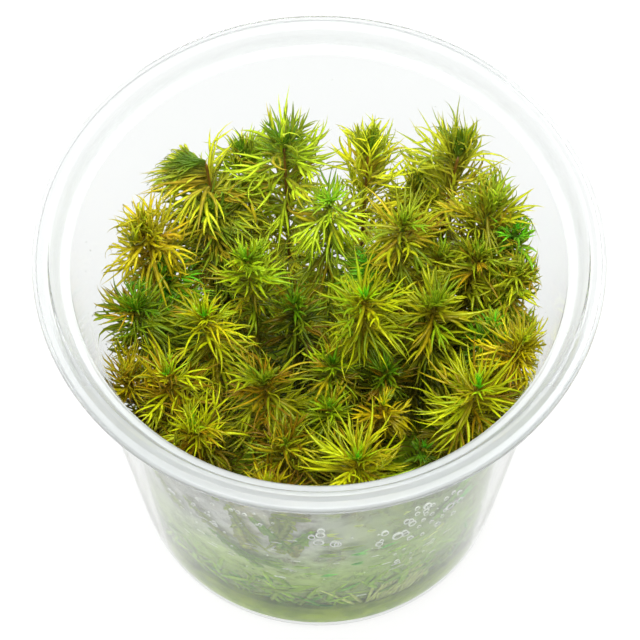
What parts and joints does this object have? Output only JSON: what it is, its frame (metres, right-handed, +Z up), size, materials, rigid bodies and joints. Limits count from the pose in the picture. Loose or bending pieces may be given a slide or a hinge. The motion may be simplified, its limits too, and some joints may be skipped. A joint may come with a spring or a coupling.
{
  "type": "tissue culture cup of myriophyllum",
  "caption": "Clear tapered plastic culture cup, open at the top, with a bed of nutrient gel and a dense stand of narrow-leaved aquarium stem plants rooted in it.",
  "frame": {"origin": "centre of the cup's underside, on the surface it stands on", "axes": "+Z up along the cup's axis; -Y is the side towards the viewer of the picture, +X to the viewer's right"},
  "size_m": [0.1, 0.1, 0.0891],
  "materials": {
    "clear_plastic": "clear, faintly milky polypropylene with a soft gloss",
    "gel": "translucent pale nutrient gel, wet gloss",
    "leaf_yellow": "waxy yellow-green leaf, semi-gloss",
    "leaf_olive": "waxy olive leaf, semi-gloss",
    "leaf_green": "waxy mid-green leaf, semi-gloss",
    "leaf_bright": "young bright green leaf, semi-gloss",
    "leaf_dark": "dark green leaf, semi-gloss",
    "leaf_rust": "orange-brown older leaf, semi-gloss"
  },
  "bodies": {
    "root": {"cup": "clear_plastic", "gel": "gel", "middle_shoot_1": "leaf_yellow", "middle_shoot_2": "leaf_yellow", "middle_shoot_3": "leaf_olive", "middle_shoot_4": "leaf_green", "middle_shoot_5": "leaf_dark", "middle_shoot_6": "leaf_olive", "middle_shoot_7": "leaf_bright", "middle_shoot_8": "leaf_dark", "middle_shoot_9": "leaf_bright", "middle_shoot_10": "leaf_olive", "middle_shoot_11": "leaf_olive", "middle_shoot_12": "leaf_bright", "front_shoot_1": "leaf_yellow", "front_shoot_2": "leaf_yellow", "front_shoot_3": "leaf_olive", "front_shoot_4": "leaf_yellow", "front_shoot_5": "leaf_rust", "front_shoot_6": "leaf_olive", "front_shoot_7": "leaf_yellow", "front_shoot_8": "leaf_green", "front_shoot_9": "leaf_dark", "front_shoot_10": "leaf_green", "front_shoot_11": "leaf_rust", "front_shoot_12": "leaf_rust", "front_shoot_13": "leaf_rust", "front_shoot_14": "leaf_bright", "front_shoot_15": "leaf_green", "back_shoot_1": "leaf_olive", "back_shoot_2": "leaf_green", "back_shoot_3": "leaf_green", "back_shoot_4": "leaf_yellow", "back_shoot_5": "leaf_olive", "back_shoot_6": "leaf_olive", "back_shoot_7": "leaf_bright", "back_shoot_8": "leaf_green", "back_shoot_9": "leaf_olive", "back_shoot_10": "leaf_rust", "back_shoot_11": "leaf_dark", "back_shoot_12": "leaf_yellow"}
  },
  "joints": []
}
